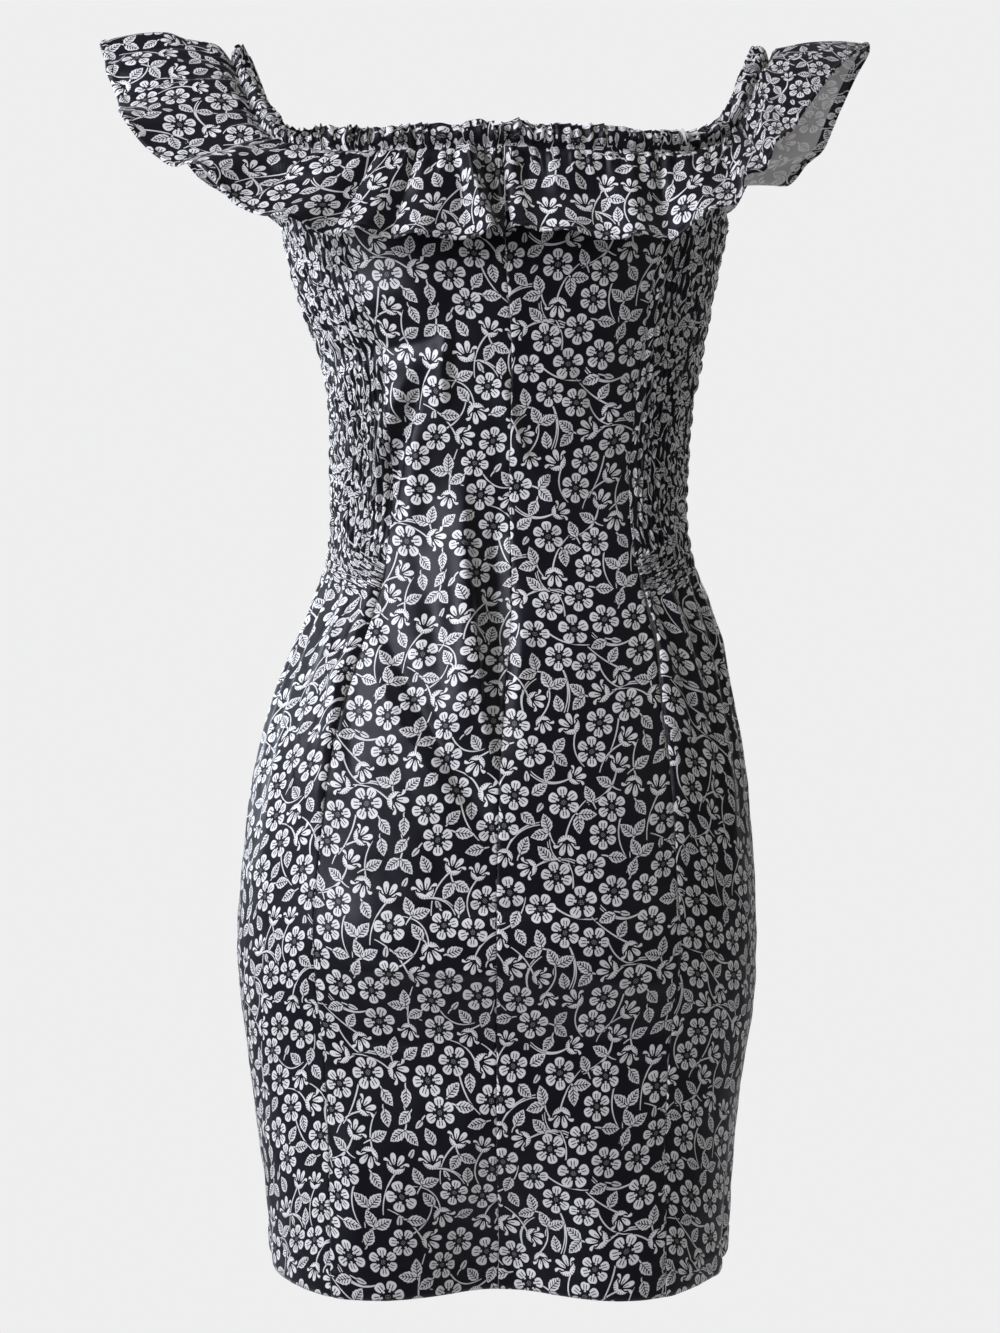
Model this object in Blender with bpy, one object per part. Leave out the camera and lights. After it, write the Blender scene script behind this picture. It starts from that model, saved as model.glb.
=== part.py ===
"""Off-shoulder dress with shirred sides and a gathered neckline frill, in its worn shape with no wearer.

Metres, +Z up. The back of the dress faces -Y and its front +Y. Angles round the body start at the
centre back and grow towards +X. The origin is level with the elastic at the centre back.
"""

import math
from collections import namedtuple

import bmesh
import bpy
import numpy as np
from mathutils import Vector

for old in list(bpy.data.objects):
    bpy.data.objects.remove(old)

# Cloth and seams
BODY_CLOTH = 0.0016
FRILL_CLOTH = 0.0012
SEAM_GAP = 0.0003
TOP_SEAM = 0.0005

# Length of the dress below the elastic, and where the shirring ends
HEM_Z = -0.706
SHIRRING_END_Z = -0.246
SHIRRING_FADE = 0.045

# Panel seams round the body, in degrees from the centre back
BACK_SIDE_SEAM = 39.0
SIDE_FRONT_SEAM = 137.0

# Mesh fineness
BODY_ROWS = 20
BACK_COLUMNS = 8
FRONT_COLUMNS = 18
SHIRRING_RIBS = 24
INNER_COLUMNS = 12
FINE_STEPS = 60
EDGE_TRIES = 3
RIB_HEIGHT = 0.0017

# Neckline casing and frill
CASING_ABOVE = 0.002
CASING_BELOW = 0.010
CASING_COLUMNS = 80
FRILL_GAP = 0.0005
HEADING = 0.012
HEADING_LEAN = 0.28
FRILL_GATHERS = 80
GATHER_DEPTH = 0.0022
FRILL_LEVELS = (0.0, 0.16, 0.42, 0.72, 1.0)

# Cross-sections of the dress. back and front are the depths behind and before the body's middle.
Section = namedtuple("Section", "z half_width centre_x back front squareness")
SECTIONS = (
    Section(0.010, 0.1500, 0.003, 0.0970, 0.1080, 3.40),
    Section(-0.010, 0.1490, 0.003, 0.0975, 0.1120, 3.20),
    Section(-0.030, 0.1450, 0.003, 0.0970, 0.1160, 2.80),
    Section(-0.075, 0.1350, 0.004, 0.0930, 0.1260, 2.40),
    Section(-0.115, 0.1240, 0.007, 0.0860, 0.1215, 2.30),
    Section(-0.155, 0.1180, 0.007, 0.0785, 0.1080, 2.25),
    Section(-0.195, 0.1162, 0.006, 0.0730, 0.0995, 2.20),
    Section(-0.221, 0.1162, 0.006, 0.0725, 0.0980, 2.20),
    Section(-0.248, 0.1193, 0.007, 0.0760, 0.0990, 2.20),
    Section(-0.274, 0.1272, 0.007, 0.0830, 0.1010, 2.20),
    Section(-0.301, 0.1378, 0.006, 0.0910, 0.1030, 2.20),
    Section(-0.341, 0.1495, 0.002, 0.1010, 0.1050, 2.20),
    Section(-0.380, 0.1597, 0.000, 0.1085, 0.1060, 2.20),
    Section(-0.420, 0.1657, -0.001, 0.1140, 0.1070, 2.20),
    Section(-0.460, 0.1697, -0.002, 0.1175, 0.1070, 2.20),
    Section(-0.500, 0.1706, -0.002, 0.1195, 0.1060, 2.20),
    Section(-0.540, 0.1685, -0.002, 0.1155, 0.1050, 2.20),
    Section(-0.580, 0.1630, -0.002, 0.1095, 0.1040, 2.20),
    Section(-0.620, 0.1582, -0.002, 0.1085, 0.1030, 2.20),
    Section(-0.659, 0.1554, -0.001, 0.1090, 0.1020, 2.20),
    Section(-0.706, 0.1523, -0.001, 0.1100, 0.1020, 2.20),
)

# Height of the bodice's edge at the armholes. Where this is higher than the casing, they are sewn.
Armhole = namedtuple("Armhole", "angle z")
ARMHOLE = (
    Armhole(0, 0.0000),
    Armhole(40, -0.0080),
    Armhole(54, -0.0160),
    Armhole(72, -0.0260),
    Armhole(90, -0.0315),
    Armhole(110, -0.0305),
    Armhole(128, -0.0260),
    Armhole(142, -0.0180),
    Armhole(180, 0.0000),
)

# Soft folds of the worn cloth. angle and width in degrees, depth outwards, over a stretch of height.
Fold = namedtuple("Fold", "angle width depth top bottom")
FOLDS = (
    Fold(-11, 5.0, 0.0028, -0.16, -0.44),
    Fold(-4, 4.0, -0.0030, -0.17, -0.46),
    Fold(0, 16.0, -0.0040, -0.36, -0.62),
    Fold(-44, 5.0, 0.0030, -0.26, -0.46),
    Fold(-58, 5.0, 0.0030, -0.26, -0.43),
    Fold(46, 5.0, 0.0030, -0.26, -0.45),
    Fold(62, 5.0, 0.0032, -0.27, -0.49),
    Fold(0, 17.0, -0.0330, -0.58, -0.83),
    Fold(-38, 15.0, 0.0060, -0.60, -0.82),
    Fold(38, 15.0, 0.0060, -0.60, -0.82),
    Fold(79, 7.0, -0.0085, -0.56, -0.85),
    Fold(-82, 8.0, -0.0040, -0.60, -0.82),
    Fold(122, 6.0, 0.0030, -0.26, -0.46),
    Fold(-122, 6.0, 0.0030, -0.26, -0.46),
    Fold(180, 15.0, -0.0180, -0.58, -0.83),
    Fold(146, 13.0, 0.0050, -0.60, -0.82),
    Fold(-146, 13.0, 0.0050, -0.60, -0.82),
)

# The elastic line from the centre back round the right arm to the centre front; the left mirrors it.
# place runs from 0 to 1 round the neckline; fall is the slope of the casing below the horizontal.
RingStation = namedtuple("RingStation", "place x y z fall")
RING = (
    RingStation(0.000, 0.0006, -0.0980, 0.001, 88),
    RingStation(0.050, 0.0500, -0.0975, 0.000, 88),
    RingStation(0.100, 0.0960, -0.0905, 0.000, 86),
    RingStation(0.140, 0.1300, -0.0760, 0.006, 72),
    RingStation(0.180, 0.1520, -0.0560, 0.026, 52),
    RingStation(0.215, 0.1680, -0.0310, 0.060, 36),
    RingStation(0.250, 0.1775, 0.0000, 0.083, 26),
    RingStation(0.285, 0.1690, 0.0330, 0.062, 36),
    RingStation(0.320, 0.1530, 0.0600, 0.026, 52),
    RingStation(0.360, 0.1300, 0.0840, 0.003, 72),
    RingStation(0.400, 0.0960, 0.1020, -0.009, 84),
    RingStation(0.450, 0.0500, 0.1125, -0.017, 88),
    RingStation(0.500, 0.0000, 0.1155, -0.020, 88),
)

# The frill's lower edge. wave is the depth of its large ruffles there; bulge lifts its middle.
HemStation = namedtuple("HemStation", "place x y z wave bulge")
FRILL_HEM = (
    HemStation(0.000, 0.007, -0.117, -0.053, 0.0010, -0.0050),
    HemStation(0.050, 0.056, -0.119, -0.060, 0.0035, -0.0050),
    HemStation(0.100, 0.102, -0.120, -0.060, 0.0040, -0.0050),
    HemStation(0.140, 0.133, -0.124, -0.046, 0.0040, -0.0040),
    HemStation(0.180, 0.161, -0.122, -0.016, 0.0045, 0.0000),
    HemStation(0.215, 0.190, -0.086, 0.026, 0.0045, 0.0060),
    HemStation(0.250, 0.243, -0.008, 0.094, 0.0040, 0.0120),
    HemStation(0.285, 0.236, 0.046, 0.068, 0.0050, 0.0100),
    HemStation(0.320, 0.222, 0.074, 0.030, 0.0060, 0.0060),
    HemStation(0.360, 0.171, 0.111, 0.012, 0.0055, 0.0020),
    HemStation(0.400, 0.118, 0.146, -0.042, 0.0045, -0.0040),
    HemStation(0.450, 0.060, 0.158, -0.070, 0.0045, -0.0050),
    HemStation(0.500, 0.000, 0.161, -0.076, 0.0045, -0.0050),
    HemStation(0.550, -0.060, 0.158, -0.070, 0.0045, -0.0050),
    HemStation(0.600, -0.122, 0.146, -0.046, 0.0045, -0.0040),
    HemStation(0.640, -0.180, 0.112, 0.002, 0.0055, 0.0020),
    HemStation(0.680, -0.228, 0.076, 0.034, 0.0060, 0.0080),
    HemStation(0.715, -0.254, 0.042, 0.074, 0.0050, 0.0140),
    HemStation(0.750, -0.264, 0.000, 0.093, 0.0040, 0.0190),
    HemStation(0.785, -0.250, -0.036, 0.056, 0.0050, 0.0150),
    HemStation(0.820, -0.228, -0.068, 0.010, 0.0055, 0.0080),
    HemStation(0.860, -0.186, -0.100, -0.016, 0.0055, 0.0020),
    HemStation(0.900, -0.142, -0.118, -0.048, 0.0045, -0.0040),
    HemStation(0.950, -0.066, -0.119, -0.060, 0.0040, -0.0050),
    HemStation(1.000, -0.007, -0.117, -0.060, 0.0010, -0.0050),
)
FRILL_WAVES = 27

NAVY_CLOTH = (0.055, 0.055, 0.075, 1.0)


def smooth_lookup(keys, values, at):
    """Reads a table at a place between its rows, along a curve that is smooth through every row."""
    keys = np.asarray(keys, float)
    values = np.asarray(values, float)
    slopes = np.gradient(values, keys, axis=0)
    at = min(max(at, keys[0]), keys[-1])
    row = min(max(int(np.searchsorted(keys, at)) - 1, 0), len(keys) - 2)
    span = keys[row + 1] - keys[row]
    t = (at - keys[row]) / span
    h00, h10 = (1 + 2 * t) * (1 - t) ** 2, t * (1 - t) ** 2
    h01, h11 = t * t * (3 - 2 * t), t * t * (t - 1)
    return (
        h00 * values[row]
        + h10 * span * slopes[row]
        + h01 * values[row + 1]
        + h11 * span * slopes[row + 1]
    )


def section_at(z):
    """The cross-section at a height: half width, middle, back depth, front depth and squareness."""
    rows = sorted(SECTIONS, key=lambda row: row.z)
    return smooth_lookup([row.z for row in rows], [row[1:] for row in rows], z)


def window(z, top, bottom):
    """Rises from 0 at the top of a fold to 1 in its middle and back to 0 at its bottom."""
    if not bottom < z < top:
        return 0.0
    return math.sin(math.pi * (top - z) / (top - bottom)) ** 2


def fold_depth(angle, z):
    total = 0.0
    for fold in FOLDS:
        away = (angle - fold.angle + 180) % 360 - 180
        total += fold.depth * math.exp(-((away / fold.width) ** 2)) * window(z, fold.top, fold.bottom)
    return total


def body_point(angle, z, out=0.0):
    """A point on the dress at an angle from the centre back, moved outwards by out."""
    half_width, centre_x, back, front, squareness = section_at(z)
    turn = math.radians(angle)
    side, along = math.sin(turn), -math.cos(turn)
    depth = back if along < 0 else front
    power = 2.0 / squareness
    x = half_width * math.copysign(abs(side) ** power, side)
    y = depth * math.copysign(abs(along) ** power, along)
    slope = 2.0 - power
    normal = Vector(
        (
            math.copysign(abs(side) ** slope, side) / half_width,
            math.copysign(abs(along) ** slope, along) / depth,
            0,
        )
    ).normalized()
    return Vector((centre_x + x, y, z)) + normal * (out + fold_depth(angle, z))


def casing_edge():
    """Bearing from the centre back and height of the casing's lower edge, back to front."""
    bearings, heights = [], []
    for place in np.linspace(0, 0.5, CASING_COLUMNS + 1):
        point, down, _ = ring_frame(place)
        edge = point + down * CASING_BELOW
        bearings.append(math.degrees(math.atan2(edge.x, -edge.y)))
        heights.append(edge.z)
    return bearings, heights


def top_edge_z(angle):
    """Height of the bodice's top edge: just under the casing, or down at the armhole."""
    turn = abs((angle + 180) % 360 - 180)
    sewn = -CASING_BELOW
    for _ in range(EDGE_TRIES):
        edge = body_point(angle, sewn)
        bearing = math.degrees(math.atan2(abs(edge.x), -edge.y))
        sewn = np.interp(bearing, *CASING_EDGE) - TOP_SEAM
    open_edge = smooth_lookup([row.angle for row in ARMHOLE], [row.z for row in ARMHOLE], turn)
    return float(min(sewn, open_edge))


def cloth_wall(name, outer, inner, material):
    """A closed wall of cloth between an outer and an inner grid of points, both given as rows.
    The outer grid may have several columns for each inner one, for ribs over a plain inside."""
    bm = bmesh.new()
    out = [[bm.verts.new(p) for p in row] for row in outer]
    ins = [[bm.verts.new(p) for p in row] for row in inner]
    share = (len(out[0]) - 1) // (len(ins[0]) - 1)
    for grid in (out, ins):
        for upper, lower in zip(grid, grid[1:]):
            for i in range(len(upper) - 1):
                bm.faces.new((upper[i], upper[i + 1], lower[i + 1], lower[i]))
    for end in (0, -1):
        for upper, lower in zip(range(len(out) - 1), range(1, len(out))):
            bm.faces.new((out[upper][end], out[lower][end], ins[lower][end], ins[upper][end]))
        for i in range(len(ins[0]) - 1):
            run = out[end][i * share : (i + 1) * share + 1]
            bm.faces.new(run + [ins[end][i + 1], ins[end][i]])
    bmesh.ops.recalc_face_normals(bm, faces=bm.faces)
    bmesh.ops.triangulate(bm, faces=[f for f in bm.faces if len(f.verts) > 4])
    mesh = bpy.data.meshes.new(name)
    bm.to_mesh(mesh)
    bm.free()
    mesh.shade_smooth()
    mesh.materials.append(material)
    piece = bpy.data.objects.new(name, mesh)
    dress.objects.link(piece)
    return piece


def column_angles(start, stop, columns, z):
    """Angles of a panel's columns at a height, evenly spaced along the cloth between its two seams,
    with half the seam gap left at both ends."""
    fine = np.linspace(start, stop, FINE_STEPS + 1)
    outline = [body_point(angle, z) for angle in fine]
    lengths = [0.0]
    for before, after in zip(outline, outline[1:]):
        lengths.append(lengths[-1] + (after - before).length)
    angles = np.interp(np.linspace(0, lengths[-1], columns + 1), lengths, fine)
    for end, way in ((0, 1), (-1, -1)):
        here = body_point(angles[end], z)
        beside = body_point(angles[end] + way * 0.1, z)
        angles[end] += way * 0.1 * (SEAM_GAP / 2) / (beside - here).length
    return angles


def body_grid(start, stop, columns, out, rib=None):
    """Rows of points from the bodice's top edge to the hem. rib gives each column's extra height."""
    grid = []
    for share in np.linspace(0, 1, BODY_ROWS + 1):
        middle_z = top_edge_z((start + stop) / 2) * (1 - share) + HEM_Z * share
        row = []
        for column, angle in enumerate(column_angles(start, stop, columns, middle_z)):
            z = top_edge_z(angle) * (1 - share) + HEM_Z * share
            raised = rib(column, z) if rib else 0.0
            row.append(body_point(angle, z, out + raised))
        grid.append(row)
    return grid


def shirring_rib(column, z):
    """Height of a shirred rib: every second column is raised, down to the waist."""
    if column % 2 == 0 or z < SHIRRING_END_Z - SHIRRING_FADE:
        return 0.0
    fade = min(1.0, (z - SHIRRING_END_Z + SHIRRING_FADE) / SHIRRING_FADE)
    unevenness = 0.86 + 0.14 * math.sin(2.4 * column + 31 * z)
    return RIB_HEIGHT * fade * unevenness


def plain_panel(name, start, stop, columns, material):
    outer = body_grid(start, stop, columns, 0.0)
    inner = body_grid(start, stop, columns, -BODY_CLOTH)
    return cloth_wall(name, outer, inner, material)


def side_panel(name, start, stop, material):
    outer = body_grid(start, stop, 2 * SHIRRING_RIBS, 0.0, shirring_rib)
    inner = body_grid(start, stop, INNER_COLUMNS, -BODY_CLOTH)
    return cloth_wall(name, outer, inner, material)


def ring_at(place):
    """The elastic line at a place round the neckline, as a point and the casing's slope."""
    mirrored = place > 0.5
    half = 1.0 - place if mirrored else place
    x, y, z, fall = smooth_lookup([row.place for row in RING], [row[1:] for row in RING], half)
    return Vector((-x if mirrored else x, y, z)), math.radians(fall)


def ring_frame(place):
    """Point, direction down the casing and direction out of it, at a place round the neckline."""
    step = 0.002
    point, fall = ring_at(place)
    along = (ring_at(min(place + step, 1.0))[0] - ring_at(max(place - step, 0.0))[0]).normalized()
    sideways = Vector((along.y, -along.x, 0)).normalized()
    down = sideways * math.cos(fall) + Vector((0, 0, -1)) * math.sin(fall)
    down = (down - along * down.dot(along)).normalized()
    out = down.cross(along).normalized()
    if out.dot(sideways) < 0:
        out.negate()
    return point, down, out


def hem_station(place):
    return smooth_lookup([row.place for row in FRILL_HEM], [row[1:] for row in FRILL_HEM], place)


def frill_base(place, level):
    """The frill's middle surface before its gathers, from the elastic (0) to its hem (1)."""
    point, down, out = ring_frame(place)
    start = point + out * (FRILL_GAP + FRILL_CLOTH / 2)
    x, y, z, _, bulge = hem_station(place)
    end = Vector((x, y, z))
    across = (end - start).cross(down.cross(out)).normalized()
    lift = across if across.dot(out) > 0 else -across
    pull = start.lerp(end, 0.45) + lift * bulge
    return start * (1 - level) ** 2 + pull * 2 * level * (1 - level) + end * level**2


def frill_normal(place, level):
    step = 0.004
    across = frill_base(min(place + step, 1), level) - frill_base(max(place - step, 0), level)
    downwards = frill_base(place, min(level + 0.05, 1)) - frill_base(place, max(level - 0.05, 0))
    normal = downwards.cross(across).normalized()
    return normal if normal.dot(ring_frame(place)[2]) > 0 else -normal


def frill_offset(column, place, level):
    """How far the frill stands off its middle surface: fine gathers above, large ruffles below."""
    wave = hem_station(place)[3]
    turn = 2 * math.pi * (FRILL_WAVES * place + 0.22 * math.sin(2 * math.pi * 5.3 * place))
    ruffle = float(wave) * (0.35 + math.sin(turn)) * level**1.4
    gather = GATHER_DEPTH * (column % 2) * max(0.0, 1 - level / 0.62)
    return ruffle + gather


def build_casing(material):
    outer, inner = [[], []], [[], []]
    for place in np.linspace(0, 1, CASING_COLUMNS + 1):
        point, down, out = ring_frame(place)
        for row, drop in enumerate((-CASING_ABOVE, CASING_BELOW)):
            outer[row].append(point + down * drop)
            inner[row].append(point + down * drop - out * BODY_CLOTH)
    return cloth_wall("neck_casing", outer, inner, material)


def build_frill(material):
    columns = 2 * FRILL_GATHERS
    outer = [[] for _ in range(len(FRILL_LEVELS) + 1)]
    inner = [[] for _ in range(len(FRILL_LEVELS) + 1)]
    for column, place in enumerate(np.linspace(0, 1, columns + 1)):
        point, down, out = ring_frame(place)
        sway = GATHER_DEPTH * (0.5 if column % 2 else -0.5)
        heading = frill_base(place, 0) - down * HEADING + out * (HEADING * HEADING_LEAN + sway)
        outer[0].append(heading + out * FRILL_CLOTH / 2)
        inner[0].append(heading - out * FRILL_CLOTH / 2)
        for row, level in enumerate(FRILL_LEVELS, start=1):
            normal = frill_normal(place, level) if level > 0 else out
            middle = frill_base(place, level) + normal * frill_offset(column, place, level)
            outer[row].append(middle + normal * FRILL_CLOTH / 2)
            inner[row].append(middle - normal * FRILL_CLOTH / 2)
    return cloth_wall("neck_frill", outer, inner, material)


def cloth_material(name, colour, roughness):
    material = bpy.data.materials.new(name)
    material.use_nodes = True
    shader = material.node_tree.nodes["Principled BSDF"]
    shader.inputs["Base Color"].default_value = colour
    shader.inputs["Roughness"].default_value = roughness
    shader.inputs["Metallic"].default_value = 0.0
    return material


CASING_EDGE = casing_edge()
dress = bpy.data.collections.new("off_shoulder_dress")
bpy.context.scene.collection.children.link(dress)
printed = cloth_material("printed_cloth", NAVY_CLOTH, 0.6)

plain_panel("back_right", 0, BACK_SIDE_SEAM, BACK_COLUMNS, printed)
plain_panel("back_left", -BACK_SIDE_SEAM, 0, BACK_COLUMNS, printed)
side_panel("side_right", BACK_SIDE_SEAM, SIDE_FRONT_SEAM, printed)
side_panel("side_left", -SIDE_FRONT_SEAM, -BACK_SIDE_SEAM, printed)
plain_panel("front", SIDE_FRONT_SEAM, 360 - SIDE_FRONT_SEAM, FRONT_COLUMNS, printed)
build_casing(printed)
build_frill(printed)
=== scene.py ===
import math

import bmesh
import bpy
import numpy as np
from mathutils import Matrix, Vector


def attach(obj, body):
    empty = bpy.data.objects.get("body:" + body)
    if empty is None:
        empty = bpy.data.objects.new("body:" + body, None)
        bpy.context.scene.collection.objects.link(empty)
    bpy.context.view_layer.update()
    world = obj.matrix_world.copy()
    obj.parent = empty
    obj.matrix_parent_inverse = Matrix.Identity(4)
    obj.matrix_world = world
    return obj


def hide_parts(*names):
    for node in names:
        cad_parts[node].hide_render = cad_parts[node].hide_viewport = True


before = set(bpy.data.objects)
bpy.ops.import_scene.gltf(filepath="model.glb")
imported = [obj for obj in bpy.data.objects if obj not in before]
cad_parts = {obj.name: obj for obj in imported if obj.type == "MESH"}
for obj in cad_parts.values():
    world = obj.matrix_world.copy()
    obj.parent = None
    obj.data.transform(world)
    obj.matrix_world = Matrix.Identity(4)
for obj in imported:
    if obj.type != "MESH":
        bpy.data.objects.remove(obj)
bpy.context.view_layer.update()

mm = 0.001

# the dress's own sizes, as its solids have them
bodySizes = {"hem": -0.706, "seamGap": 0.00004, "topSeam": 0.0005}
casingSizes = {"above": 0.002, "below": 0.010, "columns": 80}
frillSizes = {"gap": 0.0005, "cloth": 0.0012, "heading": 0.012, "lean": 0.28, "gathers": 80, "waves": 27}

# z, half width, middle, back depth and front depth in mm, squareness
sections = np.array([
    (10, 150, 3, 97, 108, 3.4), (-10, 149, 3, 97.5, 112, 3.2), (-30, 145, 3, 97, 116, 2.8),
    (-75, 135, 4, 93, 126, 2.4), (-115, 124, 7, 86, 121.5, 2.3), (-155, 118, 7, 78.5, 108, 2.25),
    (-195, 116.2, 6, 73, 99.5, 2.2), (-221, 116.2, 6, 72.5, 98, 2.2), (-248, 119.3, 7, 76, 99, 2.2),
    (-274, 127.2, 7, 83, 101, 2.2), (-301, 137.8, 6, 91, 103, 2.2), (-341, 149.5, 2, 101, 105, 2.2),
    (-380, 159.7, 0, 108.5, 106, 2.2), (-420, 165.7, -1, 114, 107, 2.2),
    (-460, 169.7, -2, 117.5, 107, 2.2), (-500, 170.6, -2, 119.5, 106, 2.2),
    (-540, 168.5, -2, 115.5, 105, 2.2), (-580, 163, -2, 109.5, 104, 2.2),
    (-620, 158.2, -2, 108.5, 103, 2.2), (-659, 155.4, -1, 109, 102, 2.2), (-706, 152.3, -1, 110, 102, 2.2),
])[::-1] * (mm, mm, mm, mm, mm, 1)

# angle from the centre back, height of the bodice's open edge in mm
armhole = np.array([
    (0, 0), (40, -8), (54, -16), (72, -26), (90, -31.5), (110, -30.5), (128, -26), (142, -18), (180, 0),
]) * (1, mm)

# angle and width in degrees, height outwards, top and bottom in mm
bodyFolds = np.array([
    (-11, 5, 2.8, -160, -440), (-4, 4, -3, -170, -460), (0, 16, -4, -360, -620), (-44, 5, 3, -260, -460),
    (-58, 5, 3, -260, -430), (46, 5, 3, -260, -450), (62, 5, 3.2, -270, -490), (0, 17, -33, -580, -830),
    (-38, 15, 6, -600, -820), (38, 15, 6, -600, -820), (79, 7, -8.5, -560, -850), (-82, 8, -4, -600, -820),
    (122, 6, 3, -260, -460), (-122, 6, 3, -260, -460), (180, 15, -18, -580, -830),
    (146, 13, 5, -600, -820), (-146, 13, 5, -600, -820),
]) * (1, 1, mm, mm, mm)

# place round half the neckline, x, y, z in mm, slope of the casing in degrees
neckRing = np.array([
    (0, 0.6, -98, 1, 88), (0.05, 50, -97.5, 0, 88), (0.1, 96, -90.5, 0, 86), (0.14, 130, -76, 6, 72),
    (0.18, 152, -56, 26, 52), (0.215, 168, -31, 60, 36), (0.25, 177.5, 0, 83, 26),
    (0.285, 169, 33, 62, 36), (0.32, 153, 60, 26, 52), (0.36, 130, 84, 3, 72), (0.4, 96, 102, -9, 84),
    (0.45, 50, 112.5, -17, 88), (0.5, 0, 115.5, -20, 88),
]) * (1, mm, mm, mm, 1)

# place round the neckline, then in mm x, y, z of the frill's hem, height of its ruffles, lift of its middle
frillHem = np.array([
    (0, 7, -117, -53, 1, -5), (0.05, 56, -119, -60, 3.5, -5), (0.1, 102, -120, -60, 4, -5),
    (0.14, 133, -124, -46, 4, -4), (0.18, 161, -122, -16, 4.5, 0), (0.215, 190, -86, 26, 4.5, 6),
    (0.25, 243, -8, 92, 4, 12), (0.262, 245, 6, 86, 4, 12), (0.273, 241, 24, 80, 4.5, 11),
    (0.285, 236, 46, 70, 5, 10), (0.32, 222, 74, 34, 6, 6), (0.36, 171, 111, 18, 5.5, 2),
    (0.4, 118, 146, -42, 4.5, -4), (0.45, 60, 158, -70, 4.5, -5), (0.5, 0, 161, -76, 4.5, -5),
    (0.55, -60, 158, -70, 4.5, -5), (0.6, -122, 146, -37, 4.5, -4), (0.64, -180, 112, 12, 5.5, 2),
    (0.68, -228, 76, 41, 6, 8), (0.715, -254, 42, 74, 5, 14), (0.75, -264, 0, 93, 4, 19),
    (0.785, -250, -36, 56, 5, 15), (0.82, -228, -68, 10, 5.5, 8), (0.86, -186, -100, -16, 5.5, 2),
    (0.9, -142, -118, -48, 4.5, -4), (0.95, -66, -119, -60, 4, -5), (1, -7, -117, -60, 1, -5),
]) * (1, mm, mm, mm, mm, mm)


def smoothLookup(table, at):
    # reads every column after the first along a smooth curve through the rows
    keys, values = table[:, 0], table[:, 1:]
    slopes = np.gradient(values, keys, axis=0)
    at = np.clip(np.asarray(at, float), keys[0], keys[-1])
    row = np.clip(np.searchsorted(keys, at) - 1, 0, len(keys) - 2)
    span = (keys[row + 1] - keys[row])[..., None]
    t = (at - keys[row])[..., None] / span
    found = (1 + 2 * t) * (1 - t) ** 2 * values[row] + t * (1 - t) ** 2 * span * slopes[row]
    return found + t * t * (3 - 2 * t) * values[row + 1] + t * t * (t - 1) * span * slopes[row + 1]


def foldDepth(angle, z):
    total = np.zeros(np.broadcast(angle, z).shape)
    for at, width, depth, top, bottom in bodyFolds:
        away = (angle - at + 180) % 360 - 180
        share = np.clip((top - z) / (top - bottom), 0, 1)
        total = total + depth * np.exp(-((away / width) ** 2)) * np.sin(np.pi * share) ** 2
    return total


def bodyPoint(angle, z):
    half, middle, back, front, square = np.moveaxis(smoothLookup(sections, z), -1, 0)
    turn = np.radians(angle)
    side, along = np.sin(turn), -np.cos(turn)
    depth = np.where(along < 0, back, front)
    power = 2 / square
    x = half * np.sign(side) * np.abs(side) ** power
    y = depth * np.sign(along) * np.abs(along) ** power
    outX = np.sign(side) * np.abs(side) ** (2 - power) / half
    outY = np.sign(along) * np.abs(along) ** (2 - power) / depth
    size = np.hypot(outX, outY)
    fold = foldDepth(angle, z)
    return np.stack([middle + x + outX / size * fold, y + outY / size * fold, z + 0 * x], axis=-1)


def ringAt(place):
    half = np.where(place > 0.5, 1 - place, place)
    found = smoothLookup(neckRing, half)
    x = np.where(place > 0.5, -found[..., 0], found[..., 0])
    return np.stack([x, found[..., 1], found[..., 2]], axis=-1), np.radians(found[..., 3])


def unit(v):
    return v / np.maximum(np.linalg.norm(v, axis=-1, keepdims=True), 1e-12)


def dot(a, b):
    return (a * b).sum(axis=-1, keepdims=True)


def ringFrame(place):
    # the elastic line's point, the way down the casing and the way out of it
    point, fall = ringAt(place)
    along = unit(ringAt(np.minimum(place + 0.002, 1))[0] - ringAt(np.maximum(place - 0.002, 0))[0])
    sideways = unit(np.stack([along[..., 1], -along[..., 0], 0 * place], axis=-1))
    down = sideways * np.cos(fall)[..., None] + np.array([0, 0, -1]) * np.sin(fall)[..., None]
    down = unit(down - along * dot(down, along))
    out = unit(np.cross(down, along))
    out = np.where(dot(out, sideways) < 0, -out, out)
    return point, down, out, along


def casingEdge():
    point, down, _, _ = ringFrame(np.linspace(0, 0.5, casingSizes["columns"] + 1))
    edge = point + down * casingSizes["below"]
    return np.degrees(np.arctan2(edge[:, 0], -edge[:, 1])), edge[:, 2]


casingBearing, casingHeight = casingEdge()


def topEdge(angle):
    turn = np.abs((angle + 180) % 360 - 180)
    sewn = np.full(np.shape(angle), -casingSizes["below"])
    for _ in range(3):
        edge = bodyPoint(angle, sewn)
        bearing = np.degrees(np.arctan2(np.abs(edge[..., 0]), -edge[..., 1]))
        sewn = np.interp(bearing, casingBearing, casingHeight) - bodySizes["topSeam"]
    return np.minimum(sewn, smoothLookup(armhole, turn)[..., 0])


def bump(away, width):
    return np.exp(-((away / width) ** 2))


def smoothStep(value, low, high):
    t = np.clip((value - low) / (high - low), 0, 1)
    return t * t * (3 - 2 * t)


def soft(a, b, seed):
    # an even, slow unevenness from -1 to 1, in cycles of a and b
    r = np.random.default_rng(seed).uniform(0, 2 * np.pi, 8)
    return (
        np.sin(a + r[0] + 1.3 * np.sin(b + r[1])) + np.sin(1.7 * b + r[2] + 1.1 * np.sin(0.8 * a + r[3]))
        + 0.6 * np.sin(2.3 * a - 1.9 * b + r[4] + np.sin(1.4 * b + r[5]))
    ) / 2.6


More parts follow.
